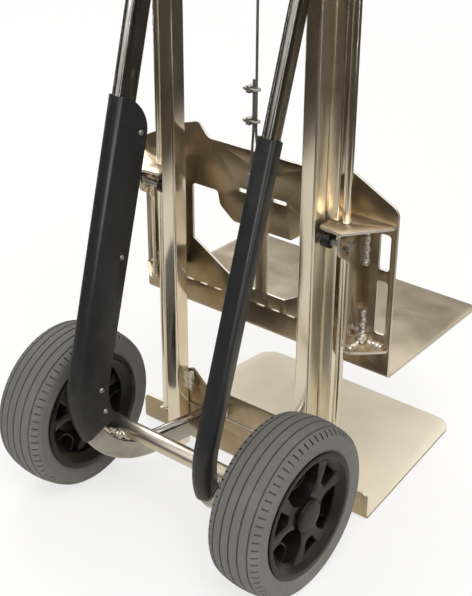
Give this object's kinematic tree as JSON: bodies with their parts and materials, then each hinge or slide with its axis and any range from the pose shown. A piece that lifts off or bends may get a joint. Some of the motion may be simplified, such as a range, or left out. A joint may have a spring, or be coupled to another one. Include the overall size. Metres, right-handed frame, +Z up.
{
  "type": "lifting hand truck",
  "caption": "Upright hand truck with a fixed toe plate, bent struts with glide covers, and a roller-guided load carriage lifted on a wire rope by a geared hand winch.",
  "frame": {"origin": "on the floor, under the middle of the whole truck's bounding box", "axes": "+X to the right hand of the person pushing, +Y forward to the toe plate, +Z up"},
  "size_m": [0.5, 0.6259, 1.3],
  "materials": {
    "polished_steel": "bright polished stainless sheet and tube",
    "plain_steel": "plain machined and plated steel",
    "wire_rope": "stranded steel wire",
    "cover_plastic": "satin charcoal moulding",
    "rim_plastic": "satin black moulding",
    "tyre_rubber": "matt grey non-marking rubber",
    "roller_plastic": "black nylon",
    "grip_rubber": "matt black rubber"
  },
  "bodies": {
    "frame": {"axle_shaft": "plain_steel", "axle_tube": "polished_steel", "axle_collars": "polished_steel", "mast_left": "polished_steel", "mast_right": "polished_steel", "rail_left": "polished_steel", "rail_right": "polished_steel", "guide_rod_left": "polished_steel", "guide_rod_right": "polished_steel", "strut_left": "polished_steel", "strut_right": "polished_steel", "strut_cover_left": "cover_plastic", "strut_cover_right": "cover_plastic", "cover_screws": "plain_steel", "toe_plate": "polished_steel", "foot_plate": "polished_steel", "lifting_rope": "wire_rope", "rope_lead": "wire_rope", "cross_rails": "polished_steel", "winch_plates": "plain_steel", "winch_spacers": "plain_steel", "winch_bolts": "plain_steel", "head_plate": "polished_steel", "sheave_bracket": "polished_steel", "sheave_pin": "plain_steel", "handle_left": "polished_steel", "handle_right": "polished_steel", "grip_left": "grip_rubber", "grip_right": "grip_rubber"},
    "wheel_left": {"tyre_left": "tyre_rubber", "rim_left": "rim_plastic", "hub_cap_left": "rim_plastic", "hub_bushes_left": "plain_steel"},
    "wheel_right": {"tyre_right": "tyre_rubber", "rim_right": "rim_plastic", "hub_cap_right": "rim_plastic", "hub_bushes_right": "plain_steel"},
    "carriage": {"carriage_plate": "polished_steel", "side_plate_left": "polished_steel", "side_plate_right": "polished_steel", "top_gusset_left": "polished_steel", "top_gusset_right": "polished_steel", "bottom_gusset_left": "polished_steel", "bottom_gusset_right": "polished_steel", "roller_bolts": "plain_steel", "rope_pin": "plain_steel", "rope_clips": "plain_steel", "rope_eye": "wire_rope"},
    "roller_ul": {"roller_upper_left": "roller_plastic"},
    "roller_ur": {"roller_upper_right": "roller_plastic"},
    "roller_ll": {"roller_lower_left": "roller_plastic"},
    "roller_lr": {"roller_lower_right": "roller_plastic"},
    "drum": {"drum": "plain_steel", "drum_gear": "plain_steel", "rope_winding": "wire_rope"},
    "crank": {"pinion": "plain_steel", "crank_arm": "plain_steel"},
    "crank_knob": {"crank_grip": "grip_rubber"},
    "head_sheave": {"sheave": "roller_plastic"}
  },
  "joints": [
    {"name": "lift", "type": "slide", "parent": "frame", "child": "carriage", "axis": [0, 0, 1], "range_m": [-0.23, 0.5], "deforming": ["lifting_rope"]},
    {"name": "wheel_left_spin", "type": "hinge", "parent": "frame", "child": "wheel_left", "pos_m": [-0.207, -0.183, 0.13], "axis": [1, 0, 0], "continuous": true},
    {"name": "wheel_right_spin", "type": "hinge", "parent": "frame", "child": "wheel_right", "pos_m": [0.207, -0.183, 0.13], "axis": [1, 0, 0], "continuous": true},
    {"name": "roller_ul_spin", "type": "hinge", "parent": "carriage", "child": "roller_ul", "pos_m": [-0.1505, -0.0248, 0.461], "axis": [1, 0, 0], "continuous": true},
    {"name": "roller_ll_spin", "type": "hinge", "parent": "carriage", "child": "roller_ll", "pos_m": [-0.1505, 0.0083, 0.316], "axis": [1, 0, 0], "continuous": true},
    {"name": "roller_ur_spin", "type": "hinge", "parent": "carriage", "child": "roller_ur", "pos_m": [0.1505, -0.0248, 0.461], "axis": [1, 0, 0], "continuous": true},
    {"name": "roller_lr_spin", "type": "hinge", "parent": "carriage", "child": "roller_lr", "pos_m": [0.1505, 0.0083, 0.316], "axis": [1, 0, 0], "continuous": true},
    {"name": "drum_spin", "type": "hinge", "parent": "frame", "child": "drum", "pos_m": [-0.0273, -0.078, 1], "axis": [0, 1, 0], "continuous": true},
    {"name": "crank_spin", "type": "hinge", "parent": "frame", "child": "crank", "pos_m": [-0.0273, -0.133, 0.937], "axis": [0, 1, 0], "continuous": true},
    {"name": "crank_grip_spin", "type": "hinge", "parent": "crank", "child": "crank_knob", "pos_m": [-0.0273, -0.193, 1.087], "axis": [0, 1, 0], "continuous": true},
    {"name": "sheave_spin", "type": "hinge", "parent": "frame", "child": "head_sheave", "pos_m": [0, -0.036, 1.232], "axis": [1, 0, 0], "continuous": true}
  ],
  "couplings": [
    {"joint": "roller_ul_spin", "follows": "lift", "rad_per_m": -100},
    {"joint": "roller_ur_spin", "follows": "lift", "rad_per_m": -100},
    {"joint": "roller_ll_spin", "follows": "lift", "rad_per_m": 100},
    {"joint": "roller_lr_spin", "follows": "lift", "rad_per_m": 100},
    {"joint": "drum_spin", "follows": "lift", "rad_per_m": 36.63},
    {"joint": "crank_spin", "follows": "lift", "rad_per_m": -109.89},
    {"joint": "sheave_spin", "follows": "lift", "rad_per_m": 23.809}
  ]
}
